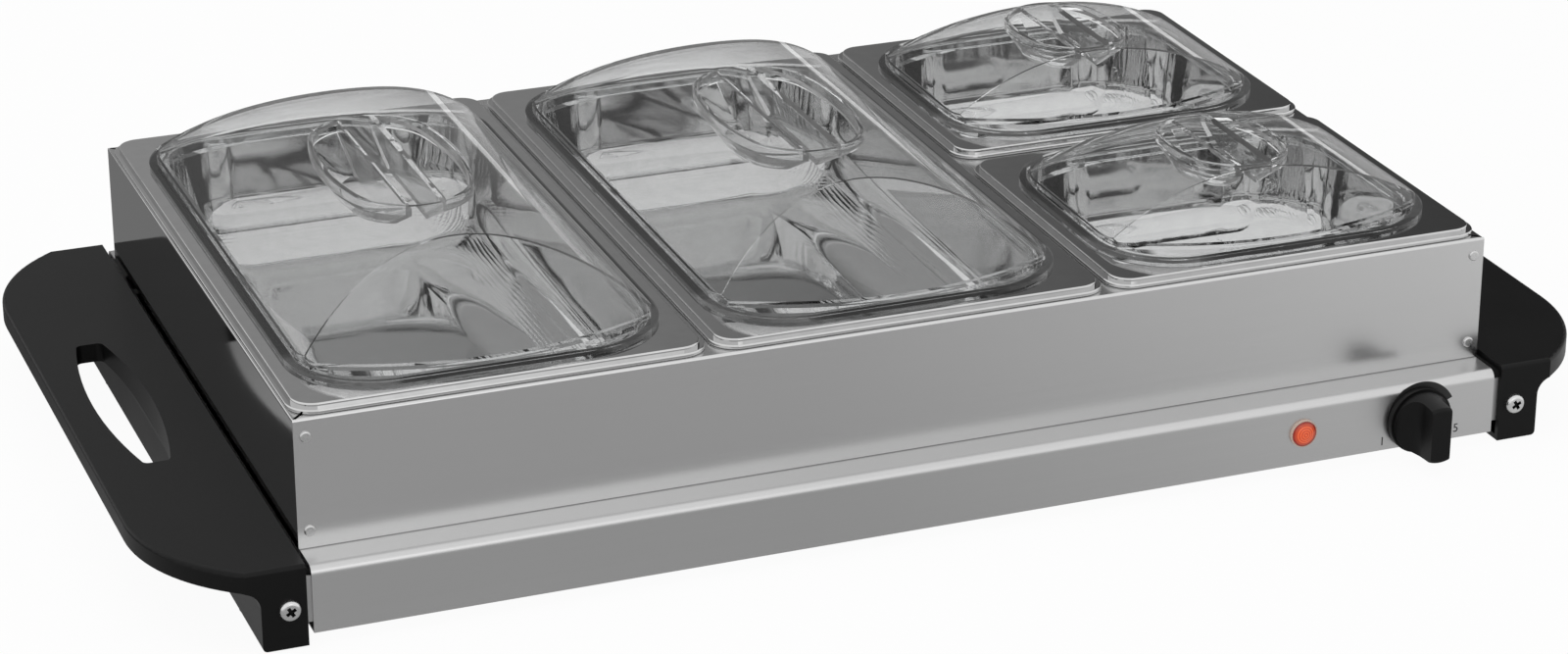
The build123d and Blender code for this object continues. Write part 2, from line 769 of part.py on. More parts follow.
# Clear lid: a cross vault closed by two cone-like ends, so that an arched crease runs over each end
def lid_end(half_length, inset, bottom):
    radius = end_radius - inset
    wall = lid_wall - inset
    top = wall + end_rise
    slope_length = sqrt(end_run ** 2 + end_rise ** 2)
    middle_r = radius - end_run / 2 + end_bulge * end_rise / slope_length
    middle_z = wall + end_rise / 2 + end_bulge * end_run / slope_length
    peak = top + (radius - end_run) * end_rise / end_run
    profile = make_face([
        Line((0, bottom), (radius, bottom)),
        Line((radius, bottom), (radius, wall)),
        ThreePointArc((radius, wall), (middle_r, middle_z), (radius - end_run, top)),
        Line((radius - end_run, top), (0, peak)),
        Line((0, peak), (0, bottom)),
    ])
    return Pos(0, half_length - end_radius, 0) * revolve(Plane.XZ * profile, Axis.Z)


def lid_vault(half_width, half_length, crown, inset):
    rise = crown - lid_wall
    vault_r = (half_width ** 2 + rise ** 2) / (2 * rise)
    barrel = Rot(90, 0, 0) * Cylinder(vault_r - inset, 2 * (half_length + overrun))
    return Pos(0, 0, crown - vault_r) * barrel


def lid_form(half_width, half_length, crown, inset, bottom):
    plan = rounded_slab(2 * (half_width - inset), 2 * (half_length + overrun), lid_corner,
                        bottom, crown + overrun)
    form = plan & lid_vault(half_width, half_length, crown, inset)
    front = lid_end(half_length, inset, bottom)
    return form & front & (Rot(0, 0, 180) * front)


def oval(half_x, half_y, end_r):
    side_r = (half_x ** 2 + (half_y - end_r) ** 2 - end_r ** 2) / (2 * (half_x - end_r))
    joint_x = half_x - side_r + side_r * (side_r - half_x) / (side_r - end_r)
    joint_y = side_r * (half_y - end_r) / (side_r - end_r)
    return make_face([
        ThreePointArc((joint_x, -joint_y), (half_x, 0), (joint_x, joint_y)),
        ThreePointArc((joint_x, joint_y), (0, half_y), (-joint_x, joint_y)),
        ThreePointArc((-joint_x, joint_y), (-half_x, 0), (-joint_x, -joint_y)),
        ThreePointArc((-joint_x, -joint_y), (0, -half_y), (joint_x, -joint_y)),
    ])


def pocket_plan(sizes, grow, edge_x, z):
    half_x, half_y, end_r = [size + grow for size in sizes]
    right = Pos(edge_x + half_x / 2, 0) * Rectangle(half_x, 2 * half_y)
    return Pos(0, 0, z) * (oval(half_x, half_y, end_r) & right)


# A finger pocket: upright below the ring, then drawn in to a smaller floor, with an upright wall at the bar
def pocket(ring, floor, ring_grow, floor_grow, z_low, z_high):
    edge_x = grip_bar / 2 - floor_grow
    brim = pocket_plan(ring, ring_grow, edge_x, z_high - pocket_brim)
    bed = pocket_plan(floor, floor_grow, edge_x, z_low)
    bowl = loft([bed.face(), brim.face()])
    return bowl + extrude(brim, pocket_brim + overrun)


def clear_lid(length, crown, ring_top, ring, floor, pocket_depth):
    half_width = pan_width / 2 - lid_inset
    half_length = length / 2 - lid_inset
    below = -lid_lip_drop - overrun
    outer = lid_form(half_width - lid_flange, half_length - lid_flange, crown, 0, lid_flange_height / 2)
    inner = lid_form(half_width - lid_flange, half_length - lid_flange, crown, lid_skin, below)
    lip_width_x = pan_width - 2 * well_inset - 2 * lid_lip_gap
    lip_width_y = length - 2 * well_inset - 2 * lid_lip_gap
    lip_corner = well_corner - lid_lip_gap
    body = outer + rounded_slab(2 * half_width, 2 * half_length, lid_corner, 0, lid_flange_height)
    body += rounded_slab(lip_width_x, lip_width_y, lip_corner, -lid_lip_drop, lid_flange_height / 2)
    boss = Pos(0, 0, lid_wall) * extrude(oval(*ring), ring_top - lid_wall)
    boss = fillet(boss.edges().group_by(Axis.Z)[-1], ring_round)
    throat = rounded_slab(lip_width_x - 2 * lid_skin, lip_width_y - 2 * lid_skin, lip_corner - lid_skin,
                          below - overrun, lid_wall)
    room = inner & (throat + block(2 * half_width, 2 * half_length, crown, z=lid_flange_height))
    floor_z = ring_top - pocket_depth
    cup = pocket(ring, floor, -cup_gap, lid_skin, floor_z - lid_skin, ring_top)
    hollow = pocket(ring, floor, -lid_skin, 0, floor_z, ring_top)
    lid = body + boss - (room - cup - Rot(0, 0, 180) * cup)
    lid -= hollow
    lid -= Rot(0, 0, 180) * hollow
    return Pos(0, 0, flange_top) * lid


large_ring = (large_ring_x, large_ring_y, large_ring_end_r)
large_floor = (large_floor_x, large_floor_y, large_floor_end_r)
small_ring = (small_ring_x, small_ring_y, small_ring_end_r)
small_floor = (small_floor_x, small_floor_y, small_floor_end_r)
large_lid = clear_lid(large_pan_length, large_crown, large_ring_top, large_ring, large_floor, large_pocket_depth)
small_lid = clear_lid(small_pan_length, small_crown, small_ring_top, small_ring, small_floor, small_pocket_depth)
large_pan = food_pan(large_pan_length)
small_pan = food_pan(small_pan_length)
front_panel = frame_front()
right_panel = frame_right()
right_end = right_handle()
right_bracket = right_end_bracket()

nodes = {
    "top_cover": top_cover(),
    "bottom_plate": bottom_plate(),
    "bottom_plate_screws": bottom_plate_screws(),
    "left_end_bracket": mirror(right_bracket, Plane.YZ),
    "right_end_bracket": right_bracket,
    "left_handle": mirror(right_end, Plane.YZ),
    "right_handle": right_end,
    "handle_screws": handle_screws(),
    "rubber_feet": rubber_feet(),
    "heat_spreader": heat_spreader(),
    "heating_element": heating_element(),
    "element_clamps": element_clamps(),
    "heat_shield": heat_shield(),
    "thermostat_body": thermostat_body(),
    "thermostat_nut": thermostat_nut(),
    "thermostat_shaft": thermostat_shaft(),
    "control_knob": control_knob(),
    "lamp_bezel": lamp_bezel(),
    "lamp_lens": lamp_lens(),
    "lamp_body": lamp_body(),
    "cord_inlet": cord_inlet(),
    "terminal_block": terminal_block(),
    "thermal_fuse": thermal_fuse(),
    "lead_wires": lead_wires(),
    "frame_front": front_panel,
    "frame_back": mirror(front_panel, Plane.XZ),
    "frame_left": mirror(right_panel, Plane.YZ),
    "frame_right": right_panel,
    "left_divider": bay_divider(-bay_pitch / 2),
    "right_divider": bay_divider(bay_pitch / 2),
    "small_pan_divider": small_pan_divider(),
    "frame_rivets": frame_rivets(),
    "large_pan_left": Pos(-bay_pitch, 0, 0) * large_pan,
    "large_pan_middle": large_pan,
    "small_pan_back": Pos(bay_pitch, small_pan_y, 0) * small_pan,
    "small_pan_front": Pos(bay_pitch, -small_pan_y, 0) * small_pan,
    "large_lid_left": Pos(-bay_pitch, 0, 0) * large_lid,
    "large_lid_middle": large_lid,
    "small_lid_back": Pos(bay_pitch, small_pan_y, 0) * small_lid,
    "small_lid_front": Pos(bay_pitch, -small_pan_y, 0) * small_lid,
}

os.makedirs("parts", exist_ok=True)
for name, shape in nodes.items():
    export_step(Pos(0, body_y, 0) * shape, "parts/" + name + ".step")
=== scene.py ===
import bpy
import bmesh
import json
import math
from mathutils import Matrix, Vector


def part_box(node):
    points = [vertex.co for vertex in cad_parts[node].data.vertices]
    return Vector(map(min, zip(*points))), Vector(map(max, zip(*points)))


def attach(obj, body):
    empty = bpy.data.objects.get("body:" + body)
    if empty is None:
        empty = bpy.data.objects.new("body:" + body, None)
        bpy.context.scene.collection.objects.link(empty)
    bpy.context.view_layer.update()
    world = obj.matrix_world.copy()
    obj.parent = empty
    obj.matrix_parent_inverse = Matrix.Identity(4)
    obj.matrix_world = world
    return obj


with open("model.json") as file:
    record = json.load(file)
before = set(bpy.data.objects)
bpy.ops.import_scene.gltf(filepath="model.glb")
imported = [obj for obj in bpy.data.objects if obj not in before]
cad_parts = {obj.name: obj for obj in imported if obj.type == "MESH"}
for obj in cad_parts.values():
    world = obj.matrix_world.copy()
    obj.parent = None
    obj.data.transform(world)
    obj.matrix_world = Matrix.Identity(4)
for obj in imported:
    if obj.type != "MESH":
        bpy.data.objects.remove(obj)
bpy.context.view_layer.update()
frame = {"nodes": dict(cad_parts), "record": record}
nodes = frame["nodes"]
print("frame loaded with", len(nodes), "nodes")


# shader maths: a wrapped socket, so that masks and heights are plain expressions
class Sock:
    def __init__(self, tree, out=None):
        self.tree = tree
        self.out = out

    def add(self, kind, settings=None, inputs=None, output=0):
        made = self.tree.nodes.new(kind)
        for key, value in (settings or {}).items():
            setattr(made, key, value)
        for key, value in (inputs or {}).items():
            plug(self.tree, made.inputs[key], value)
        return Sock(self.tree, made.outputs[output])

    def math(self, operation, first, second=0.0):
        return self.add("ShaderNodeMath", {"operation": operation}, {0: first, 1: second})

    def __add__(self, other):
        return self.math("ADD", self, other)

    def __radd__(self, other):
        return self.math("ADD", other, self)

    def __sub__(self, other):
        return self.math("SUBTRACT", self, other)

    def __rsub__(self, other):
        return self.math("SUBTRACT", other, self)

    def __mul__(self, other):
        return self.math("MULTIPLY", self, other)

    def __rmul__(self, other):
        return self.math("MULTIPLY", other, self)

    def __pow__(self, other):
        return self.math("POWER", self, other)

    def size(self):
        return self.math("ABSOLUTE", self)

    def between(self, low, high):
        return self.add("ShaderNodeMapRange", {"interpolation_type": "SMOOTHSTEP"},
                        {"Value": self, "From Min": low, "From Max": high})

    def vector(self, operation, other, output=0):
        return self.add("ShaderNodeVectorMath", {"operation": operation}, {0: self, 1: other}, output)

    def part(self, axis):
        return self.add("ShaderNodeSeparateXYZ", None, {0: self}, axis)

    def noise(self, scale, detail):
        return self.add("ShaderNodeTexNoise", None, {"Vector": self, "Scale": scale, "Detail": detail})

    # a noise, turned into a change to either side of a value
    def swing(self, amount):
        return (self - 0.5) * amount

    def tint(self, dark, light):
        return self.add("ShaderNodeMix", {"data_type": "RGBA"}, {0: self, 6: dark, 7: light}, 2)

    def bump(self, strength, distance, normal=None):
        values = {"Height": self, "Strength": strength, "Distance": distance}
        if normal:
            values["Normal"] = normal
        return self.add("ShaderNodeBump", None, values)


def plug(tree, socket, value):
    if isinstance(value, Sock):
        tree.links.new(value.out, socket)
    else:
        socket.default_value = value


def grey(value):
    return (value, value, value, 1.0)


def startMaterial(name):
    made = bpy.data.materials.new(name)
    made.use_nodes = True
    return made, Sock(made.node_tree).add("ShaderNodeTexCoord", output="Object")


def setShader(made, **values):
    shader = made.node_tree.nodes["Principled BSDF"]
    for key, value in values.items():
        plug(made.node_tree, shader.inputs[key.replace("_", " ")], value)
    return made


def setSurface(made, shader):
    plug(made.node_tree, made.node_tree.nodes["Material Output"].inputs["Surface"], shader)


# brushed sheet: fine lines along one axis over a slow cloud, with a painted shadow line where a panel meets
# the ledge
steelLook = {
    "dark": 0.55, "light": 0.61, "framePaintedLift": 1.13, "coverPaintedLift": 1.06,
    "lineAlong": 4.0, "lineAcross": 1500.0, "lineDetail": 3.0, "lineShare": 0.35,
    "lineBump": 0.25, "lineDepth": 0.00002,
    "cloudScale": 7.0, "cloudDetail": 2.0, "cloudSwing": 0.04,
    "rough": 0.24, "coverRough": 0.30, "sideRough": 0.07, "roughSwing": 0.05,
    "footShadowLine": (0.00028, 0.0004), "footShadowTone": 0.26,
}


def brushedSteel(name, along, rough, foot=None, lift=1.0):
    made, place = startMaterial(name)
    stretch = [steelLook["lineAcross"]] * 3
    stretch["xyz".index(along)] = steelLook["lineAlong"]
    streak = place.vector("MULTIPLY", tuple(stretch)).noise(1.0, steelLook["lineDetail"])
    cloud = place.noise(steelLook["cloudScale"], steelLook["cloudDetail"])
    tone = streak * steelLook["lineShare"] + cloud * (1.0 - steelLook["lineShare"])
    worn = rough + streak.swing(steelLook["roughSwing"]) + cloud.swing(steelLook["cloudSwing"])
    # lift is painted light: the frame and cover are lighter copies of the same steel as the sides
    colour = tone.tint(grey(steelLook["dark"] * lift), grey(steelLook["light"] * lift))
    # painted shadow: the sheet darkens in a thin line just above its foot, where it meets the ledge
    if foot is not None:
        first, last = steelLook["footShadowLine"]
        shadowLine = 1.0 - place.part(2).between(foot + first, foot + last)
        colour = shadowLine.tint(colour, grey(steelLook["footShadowTone"]))
    return setShader(made, Base_Color=colour, Metallic=1.0, Roughness=worn,
                     Normal=streak.bump(steelLook["lineBump"], steelLook["lineDepth"]))


# pressed steel pan: its floor turns up softly, so the mirrored light spreads into a band along each wall
panLook = {
    "dark": 0.58, "light": 0.66, "rough": 0.045, "roughSwing": 0.03, "hazeScale": 140.0, "hazeDetail": 3.0,
    "waveScale": 22.0, "waveDetail": 1.0, "waveBump": 0.2, "waveDepth": 0.0012,
    "flatInset": 0.033, "floorRound": 0.0122, "sheet": 0.0008,
    "floorReach": 0.024, "wallReach": 0.013, "softSlope": 0.84, "wellSide": (-0.002, 0.002),
    "skins": {"large_pan_left": "polishedLargeLeft", "large_pan_middle": "polishedLargeMiddle",
              "small_pan_back": "polishedSmallBack", "small_pan_front": "polishedSmallFront"},
}


def softTurn(beyond, reach):
    return beyond * beyond * (panLook["softSlope"] / reach / 2)


def polishedSteel(name, node):
    made, place = startMaterial(name)
    low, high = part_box(node)
    middle, half = (low + high) / 2, (high - low) / 2
    away = place.vector("SUBTRACT", tuple(middle))
    corner, wallReach, floorReach = panLook["floorRound"], panLook["wallReach"], panLook["floorReach"]
    wallFoot = panLook["sheet"] + corner + wallReach - half.z
    turn = softTurn(place.math("MAXIMUM", wallFoot - away.part(2), 0.0), wallReach)
    for axis in (0, 1):
        start = half[axis] - panLook["flatInset"] - floorReach
        beyond = place.math("MAXIMUM", away.part(axis).size() - start, 0.0)
        turn = turn + softTurn(place.math("MINIMUM", beyond, floorReach + corner), floorReach)
    facing = place.add("ShaderNodeTexCoord", output="Normal")
    outward = facing.vector("DOT_PRODUCT", away, 1)
    inWell = 1.0 - outward.between(*panLook["wellSide"])  # the rim and the outside keep their own shape
    haze = place.noise(panLook["hazeScale"], panLook["hazeDetail"])
    wave = place.noise(panLook["waveScale"], panLook["waveDetail"])
    ripple = wave.bump(panLook["waveBump"], panLook["waveDepth"])
    return setShader(made, Base_Color=haze.tint(grey(panLook["dark"]), grey(panLook["light"])), Metallic=1.0,
                     Roughness=panLook["rough"] + haze.swing(panLook["roughSwing"]),
                     Normal=turn.bump(inWell, 1.0, ripple))


# matte black moulding with a fine grain
plasticLook = {
    "dark": 0.003, "light": 0.005, "rough": 0.38, "shine": 0.185,
    "grainScale": 2200.0, "grainDetail": 2.0, "grainSwing": 0.14, "grainBump": 0.12, "grainDepth": 0.0002,
    "cloudScale": 30.0, "cloudDetail": 2.0, "cloudSwing": 0.06,
}


def blackPlastic(name):
    made, place = startMaterial(name)
    grain = place.noise(plasticLook["grainScale"], plasticLook["grainDetail"])
    cloud = place.noise(plasticLook["cloudScale"], plasticLook["cloudDetail"])
    colour = cloud.tint(grey(plasticLook["dark"]), grey(plasticLook["light"]))
    rough = plasticLook["rough"] + grain.swing(plasticLook["grainSwing"])
    return setShader(made, Base_Color=colour, Roughness=rough + cloud.swing(plasticLook["cloudSwing"]),
                     Specular_IOR_Level=plasticLook["shine"],
                     Normal=grain.bump(plasticLook["grainBump"], plasticLook["grainDepth"]))


# bright zinc screws, with painted shade inside the cross recess
screwLook = {
    "headRadius": 0.0046, "recessRadius": (0.00234, 0.0026), "recessDepth": (0.0004, 0.0009),
    "dark": 0.62, "light": 0.78, "recessShadeTone": 0.02,
    "rough": 0.26, "roughSwing": 0.12, "recessRough": 0.3,
    "grainScale": 900.0, "grainDetail": 3.0, "grainBump": 0.05, "grainDepth": 0.0002,
}


def screwZinc(name):
    made, place = startMaterial(name)
    low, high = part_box("handle_screws")
    middle, half = (low + high) / 2, (high - low) / 2
    away = place.vector("SUBTRACT", tuple(middle))
    across = away.part(0).size() - (half.x - screwLook["headRadius"])
    fromAxis = (across * across + away.part(2) * away.part(2)) ** 0.5
    depth = half.y - away.part(1).size()
    inside = 1.0 - fromAxis.between(*screwLook["recessRadius"])
    recess = depth.between(*screwLook["recessDepth"]) * inside
    grain = place.noise(screwLook["grainScale"], screwLook["grainDetail"])
    plate = grain.tint(grey(screwLook["dark"]), grey(screwLook["light"]))
    rough = screwLook["rough"] + grain.swing(screwLook["roughSwing"]) + recess * screwLook["recessRough"]
    # painted shade: the cross recess is coloured near black
    return setShader(made, Base_Color=recess.tint(plate, grey(screwLook["recessShadeTone"])), Metallic=1.0,
                     Roughness=rough, Normal=grain.bump(screwLook["grainBump"], screwLook["grainDepth"]))


# thin clear moulding: it greys where the wall is seen at a slant, and its edges glow with a painted light
lidLook = {
    "faceOn": (0.975, 0.98, 0.98, 1.0), "edgeOn": grey(0.40), "facingBlend": 0.5, "depthPower": 2.0,
    "edgeGlowStrength": 0.10, "edgeGlowPower": 3.5, "ior": 1.18, "gloss": 0.12, "glossRough": 0.02,
    "rough": 0.004, "roughSwing": 0.004, "hazeScale": 260.0, "hazeDetail": 2.0,
    "waveScale": 18.0, "waveDetail": 1.0, "waveBump": 0.05, "waveDepth": 0.001,
}


def clearPlastic(name):
    made, place = startMaterial(name)
    wave = place.noise(lidLook["waveScale"], lidLook["waveDetail"])
    haze = place.noise(lidLook["hazeScale"], lidLook["hazeDetail"])
    turned = place.add("ShaderNodeLayerWeight", None, {"Blend": lidLook["facingBlend"]}, "Facing")
    depth = (turned ** lidLook["depthPower"]).tint(lidLook["faceOn"], lidLook["edgeOn"])
    # painted highlight: walls seen edge-on emit a little light, though the lid is no lamp
    paintedEdgeGlow = (turned ** lidLook["edgeGlowPower"]).tint(grey(0.0), grey(1.0))
    return setShader(made, Base_Color=depth, Transmission_Weight=1.0, IOR=lidLook["ior"],
                     Coat_Weight=lidLook["gloss"], Coat_Roughness=lidLook["glossRough"],
                     Emission_Color=paintedEdgeGlow, Emission_Strength=lidLook["edgeGlowStrength"],
                     Roughness=lidLook["rough"] + haze.swing(lidLook["roughSwing"]),
                     Normal=wave.bump(lidLook["waveBump"], lidLook["waveDepth"]))


# lamp lens: fine rings that glow, with a deep red rim
lensLook = {
    "deep": (0.62, 0.055, 0.012, 1.0), "bright": (0.92, 0.15, 0.040, 1.0), "rim": (0.30, 0.012, 0.001, 1.0),
    "rimRadius": (0.0036, 0.0056), "ringPitch": 5600.0, "ringBump": 0.4, "ringDepth": 0.0003,
    "glow": 0.24, "rough": 0.16, "gloss": 0.35,
}


def lampGlow(name):
    made, place = startMaterial(name)
    low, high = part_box("lamp_lens")
    middle = (low + high) / 2
    away = place.vector("SUBTRACT", tuple(middle)).vector("MULTIPLY", (1.0, 0.0, 1.0))
    radius = place.add("ShaderNodeVectorMath", {"operation": "LENGTH"}, {0: away}, 1)
    rings = place.math("SINE", radius * lensLook["ringPitch"]) * 0.5 + 0.5
    rim = radius.between(*lensLook["rimRadius"])
    glow = rim.tint(rings.tint(lensLook["deep"], lensLook["bright"]), lensLook["rim"])
    return setShader(made, Base_Color=glow, Roughness=lensLook["rough"], Coat_Weight=lensLook["gloss"],
                     Emission_Color=glow, Emission_Strength=lensLook["glow"],
                     Normal=rings.bump(lensLook["ringBump"], lensLook["ringDepth"]))


# plain finishes: two tones, a roughness and a grain each
grainLook = {"detail": 3.0, "roughSwing": 0.15, "depth": 0.0002}
plainLooks = {
    "galvanised_sheet": {"name": "galvanisedSheet", "dark": grey(0.42), "light": grey(0.55),
                         "metallic": 1.0, "rough": 0.45, "grain": 60.0, "bump": 0.05},
    "zinc_fasteners": {"name": "zincPlate", "dark": grey(0.60), "light": grey(0.72),
                       "metallic": 1.0, "rough": 0.28, "grain": 900.0, "bump": 0.05},
    "black_rubber": {"name": "blackRubber", "dark": grey(0.012), "light": grey(0.022),
                     "metallic": 0.0, "rough": 0.75, "grain": 1500.0, "bump": 0.15},
    "aluminium_plate": {"name": "aluminiumPlate", "dark": grey(0.62), "light": grey(0.74),
                        "metallic": 1.0, "rough": 0.40, "grain": 200.0, "bump": 0.05},
    "element_sheath": {"name": "elementSheath", "dark": grey(0.06), "light": (0.12, 0.10, 0.08, 1.0),
                       "metallic": 1.0, "rough": 0.50, "grain": 300.0, "bump": 0.10},
    "pale_moulding": {"name": "paleMoulding", "dark": (0.62, 0.58, 0.50, 1.0),
                      "light": (0.70, 0.66, 0.58, 1.0),
                      "metallic": 0.0, "rough": 0.45, "grain": 700.0, "bump": 0.05},
    "brass": {"name": "turnedBrass", "dark": (0.58, 0.40, 0.14, 1.0), "light": (0.66, 0.48, 0.20, 1.0),
              "metallic": 1.0, "rough": 0.30, "grain": 900.0, "bump": 0.05},
    "lamp_bezel": {"name": "lampRing", "dark": (0.62, 0.46, 0.38, 1.0), "light": (0.68, 0.54, 0.46, 1.0),
                   "metallic": 0.0, "rough": 0.25, "grain": 500.0, "bump": 0.02},
    "fuse_sleeve": {"name": "fuseSleeve", "dark": grey(0.60), "light": grey(0.70),
                    "metallic": 0.0, "rough": 0.25, "grain": 300.0, "bump": 0.02},
    "wire_sleeve": {"name": "wireSleeve", "dark": (0.58, 0.55, 0.46, 1.0), "light": (0.72, 0.69, 0.60, 1.0),
                    "metallic": 0.0, "rough": 0.80, "grain": 2600.0, "bump": 0.30},
}


def plainFinish(look):
    made, place = startMaterial(look["name"])
    grain = place.noise(look["grain"], grainLook["detail"])
    return setShader(made, Base_Color=grain.tint(look["dark"], look["light"]), Metallic=look["metallic"],
                     Roughness=look["rough"] + grain.swing(grainLook["roughSwing"]),
                     Normal=grain.bump(look["bump"], grainLook["depth"]))


finishes = {slotName: plainFinish(look) for slotName, look in plainLooks.items()}
finishes["brushed_steel"] = brushedSteel("brushedSteel", "x", steelLook["rough"])
finishes["black_plastic"] = blackPlastic("blackPlastic")
finishes["lamp_lens"] = lampGlow("lampGlow")
finishes["clear_plastic"] = clearPlastic("clearPlastic")

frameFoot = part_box("frame_front")[0].z
# the frame and cover steel carry painted light, brighter than the side steel
frontSteel = brushedSteel("brushedSteelFrame", "x", steelLook["rough"], frameFoot, steelLook["framePaintedLift"])
sideSteel = brushedSteel("brushedSteelSide", "y", steelLook["sideRough"], frameFoot)
coverSteel = brushedSteel("brushedSteelCover", "x", steelLook["coverRough"], lift=steelLook["coverPaintedLift"])
ownFinish = {node: polishedSteel(name, node) for node, name in panLook["skins"].items()}
ownFinish["frame_front"] = ownFinish["frame_back"] = frontSteel
ownFinish["frame_left"] = ownFinish["frame_right"] = sideSteel
ownFinish["top_cover"] = coverSteel
ownFinish["handle_screws"] = screwZinc("screwZinc")
for row in frame["record"]["subparts"]:
    skin = nodes[row["node"]].data
    skin.materials.clear()
    skin.materials.append(ownFinish.get(row["node"]) or finishes[row["material_slot"]])
print("finishes made:", len(finishes) + len(ownFinish))


# heat dial printed on the front skirt: a crescent that thickens clockwise, with a plain number at each end
dialMarks = {
    "startAngle": 234.0, "endAngle": 23.0, "steps": 56, "ink": 0.00005,
    "inner": (0.0125, 0.0153), "outer": (0.0132, 0.0189),
    "numbers": {"1": (-0.0171, -0.0108), "5": (0.0202, -0.0103)}, "numberHeight": 0.0041, "digitShare": 0.70,
    "weld": 1e-7,
    "skin": {"name": "printedInk", "dark": grey(0.010), "light": grey(0.018),
             "metallic": 0.0, "rough": 0.55, "grain": 1800.0, "bump": 0.05},
}


def dialPlace():
    low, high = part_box("control_knob")
    middle = (low + high) / 2
    return Vector((middle.x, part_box("top_cover")[0].y, middle.z))


def keepPiece(name, mesh, skin, body):
    bmesh.ops.recalc_face_normals(mesh, faces=mesh.faces)
    data = bpy.data.meshes.new(name)
    mesh.to_mesh(data)
    mesh.free()
    data.materials.append(skin)
    piece = bpy.data.objects.new(name, data)
    bpy.context.scene.collection.objects.link(piece)
    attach(piece, body)


def makeCrescent(skin):
    centre = dialPlace()
    mesh = bmesh.new()
    sweep = dialMarks["endAngle"] - dialMarks["startAngle"]
    rows = []
    for step in range(dialMarks["steps"] + 1):
        share = step / dialMarks["steps"]
        angle = math.radians(dialMarks["startAngle"] + sweep * share)
        row = []
        for lift in (dialMarks["ink"], -dialMarks["ink"]):
            for first, last in (dialMarks["inner"], dialMarks["outer"]):
                radius = first + (last - first) * share
                corner = Vector((radius * math.cos(angle), -lift, radius * math.sin(angle)))
                row.append(mesh.verts.new(centre + corner))
        rows.append([row[0], row[1], row[3], row[2]])
    for before, after in zip(rows, rows[1:]):
        for side in range(len(before)):
            mesh.faces.new((before[side], before[side - 1], after[side - 1], after[side]))
    mesh.faces.new(rows[0])
    mesh.faces.new(rows[-1][::-1])
    keepPiece("dialCrescent", mesh, skin, "base")


def makeNumber(figure, offset, skin):
    letters = bpy.data.curves.new("figure", "FONT")
    letters.body = figure
    letters.size = dialMarks["numberHeight"] / dialMarks["digitShare"]
    letters.extrude = dialMarks["ink"]
    letters.align_x = "CENTER"
    drawn = bpy.data.objects.new("figure", letters)
    bpy.context.scene.collection.objects.link(drawn)
    flat = drawn.evaluated_get(bpy.context.evaluated_depsgraph_get()).to_mesh()
    mesh = bmesh.new()
    mesh.from_mesh(flat)
    bpy.data.objects.remove(drawn)
    centre = dialPlace() + Vector((offset[0], 0.0, offset[1]))
    for corner in mesh.verts:
        corner.co = centre + Vector((corner.co.x, -corner.co.z, corner.co.y))
    bmesh.ops.remove_doubles(mesh, verts=mesh.verts, dist=dialMarks["weld"])
    keepPiece("dialNumber" + figure, mesh, skin, "base")


inkSkin = plainFinish(dialMarks["skin"])
makeCrescent(inkSkin)
for figure, offset in dialMarks["numbers"].items():
    makeNumber(figure, offset, inkSkin)
print("dial printed with", len(dialMarks["numbers"]), "numbers")


# studio: white floor and background, soft lamps, and grey cards that only mirrors see
studio = {
    "floorSize": 12.0, "floorTone": 0.88, "floorRough": 0.9, "floorFlat": 0.95, "ambient": 0.45,
    "lamps": {
        "topLamp": {"place": (-0.2, 0.1, 1.7), "aim": (0.0, 0.0, 0.1), "size": 1.95, "watts": 12.0},
        "frontLamp": {"place": (-1.9, -2.0, 1.5), "aim": (0.0, 0.0, 0.1), "size": 2.6, "watts": 15.0},
    },
}
# tones run along a card's own x over the span, which like the fade is given in shares of the card's side
cards = {
    "backCard": {"place": (0.75, 2.0, 1.25), "size": (4.6, 2.3), "turn": (90.0, 0.0, -20.0),
                 "tones": (0.36, 0.05), "span": (0.30, 0.70), "fade": (0.60, 1.0), "throughLids": True},
    "frontCard": {"place": (0.3, -1.65, 0.0004), "size": (5.0, 3.1), "turn": (0.0, 0.0, 0.0),
                  "tones": (0.40, 0.90), "span": (0.42, 0.60), "throughLids": False},
    "leftCard": {"place": (-1.53, 1.0, 0.0004), "size": (2.2, 2.5), "turn": (0.0, 0.0, 90.0),
                 "tones": (0.40, 0.20), "span": (0.0, 0.12), "throughLids": False},
    "rightCard": {"place": (1.59, 0.125, 0.0004), "size": (0.45, 2.5), "turn": (0.0, 0.0, 90.0),
                  "tones": (0.90, 0.21), "span": (0.0, 1.0), "throughLids": False},
    "rearCard": {"place": (1.21, 1.30, 0.0004), "size": (2.98, 1.9), "turn": (0.0, 0.0, 0.0),
                 "tones": (0.30, 0.12), "span": (0.1, 0.5), "throughLids": False},
    "softBox": {"place": (0.6, -2.2, 1.05), "size": (1.6, 1.0), "turn": (90.0, 0.0, 0.0),
                "tones": (1.6, 1.0), "span": (0.15, 0.75), "throughLids": False},
}


def turnInDegrees(thing, turn):
    thing.rotation_euler = [math.radians(angle) for angle in turn]


def seenAsBackground(place):
    camera = place.add("ShaderNodeLightPath", output="Is Camera Ray")
    glossy = place.add("ShaderNodeLightPath", output="Is Glossy Ray")
    through = place.add("ShaderNodeLightPath", output="Is Transmission Ray")
    return place.math("MINIMUM", camera + glossy + through, 1.0)


def makeFloor():
    bpy.ops.mesh.primitive_plane_add(size=studio["floorSize"])
    floor = bpy.context.object
    floor.name = "studioFloor"
    made, place = startMaterial("floorPaper")
    setShader(made, Base_Color=grey(studio["floorTone"]), Roughness=studio["floorRough"])
    paper = Sock(made.node_tree, made.node_tree.nodes["Principled BSDF"].outputs[0])
    flat = place.add("ShaderNodeEmission", None, {"Color": grey(1.0), "Strength": 1.0})
    share = seenAsBackground(place) * studio["floorFlat"]
    setSurface(made, place.add("ShaderNodeMixShader", None, {0: share, 1: paper, 2: flat}))
    floor.data.materials.append(made)


# a card's own coordinates run from -0.5 to 0.5
def shareOfCard(place, axis, shares):
    first, last = shares
    return place.part(axis).between(first - 0.5, last - 0.5)


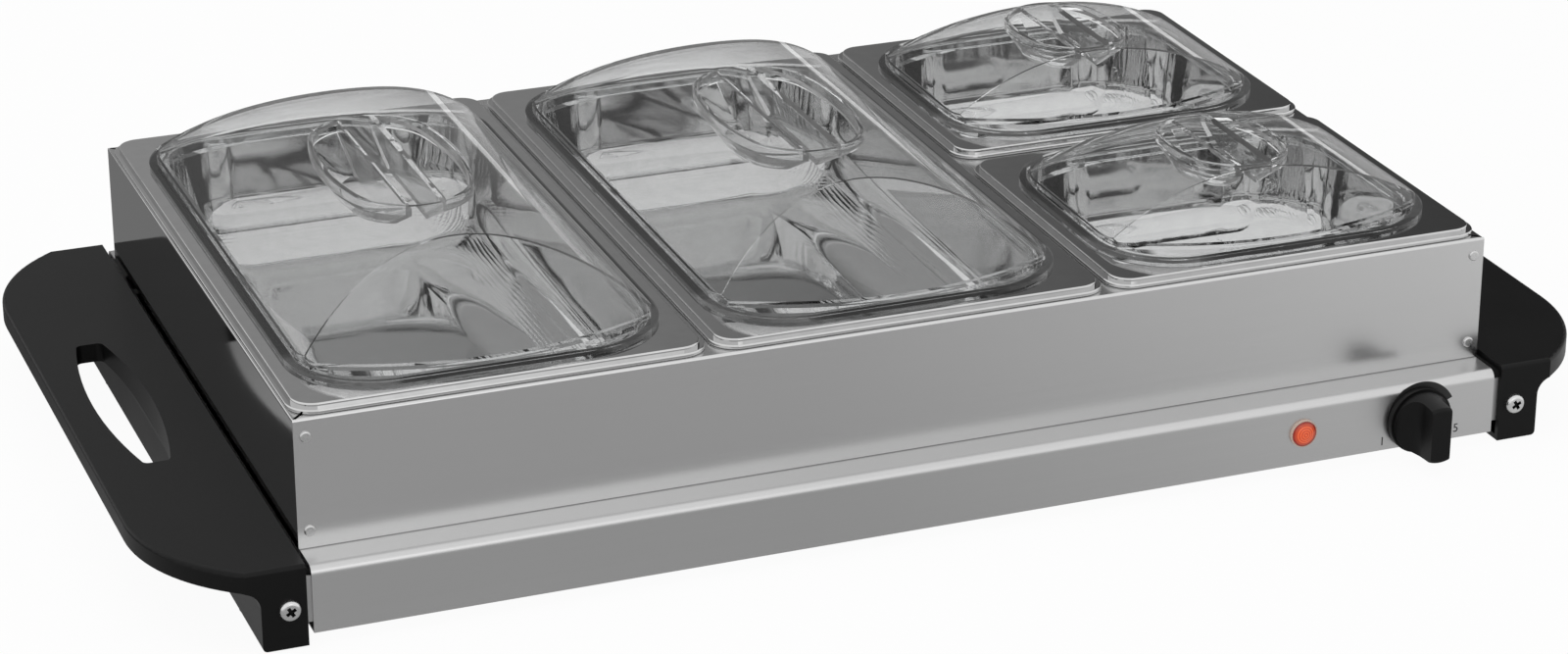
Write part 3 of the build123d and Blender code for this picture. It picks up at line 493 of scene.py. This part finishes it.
def makeCard(name, look):
    bpy.ops.mesh.primitive_plane_add(size=1.0, location=look["place"])
    card = bpy.context.object
    card.name = name
    card.scale = (*look["size"], 1.0)
    turnInDegrees(card, look["turn"])
    made, place = startMaterial(name + "Cloth")
    low, high = look["tones"]
    tone = shareOfCard(place, 0, look["span"]).tint(grey(low), grey(high))
    if "fade" in look:
        tone = shareOfCard(place, 1, look["fade"]).tint(tone, grey(1.0))
    setSurface(made, place.add("ShaderNodeEmission", None, {"Color": tone, "Strength": 1.0}))
    card.data.materials.append(made)
    card.visible_camera = card.visible_diffuse = card.visible_shadow = False
    card.visible_transmission = look["throughLids"]


def makeLamp(name, look):
    light = bpy.data.lights.new(name, "AREA")
    light.size = look["size"]
    light.energy = look["watts"]
    lamp = bpy.data.objects.new(name, light)
    bpy.context.scene.collection.objects.link(lamp)
    lamp.location = look["place"]
    lamp.visible_glossy = lamp.visible_transmission = False  # steel mirrors the white room instead
    lamp.rotation_euler = (Vector(look["aim"]) - lamp.location).to_track_quat("-Z", "Y").to_euler()


def makeWorld():
    world = bpy.data.worlds.new("studioAir")
    bpy.context.scene.world = world
    world.use_nodes = True
    air = world.node_tree.nodes["Background"]
    level = studio["ambient"] + seenAsBackground(Sock(world.node_tree)) * (1.0 - studio["ambient"])
    plug(world.node_tree, air.inputs["Color"], grey(1.0))
    plug(world.node_tree, air.inputs["Strength"], level)


makeFloor()
for name, look in cards.items():
    makeCard(name, look)
for name, look in studio["lamps"].items():
    makeLamp(name, look)
makeWorld()

# camera fitted to the straight edges of the photograph
cameraView = {"place": (-0.6439, -1.6647, 0.7891), "turn": (67.187, 0.0, -21.229), "lens": 96.14,
              "sensor": 36.0, "shift": (-0.0038, -0.0114)}
eye = bpy.data.cameras.new("photoView")
eye.lens = cameraView["lens"]
eye.sensor_width = cameraView["sensor"]
eye.shift_x, eye.shift_y = cameraView["shift"]
viewer = bpy.data.objects.new("photoView", eye)
viewer.location = cameraView["place"]
turnInDegrees(viewer, cameraView["turn"])
bpy.context.scene.collection.objects.link(viewer)
bpy.context.scene.camera = viewer
bpy.context.scene.view_settings.view_transform = "Standard"
print("studio and camera set")
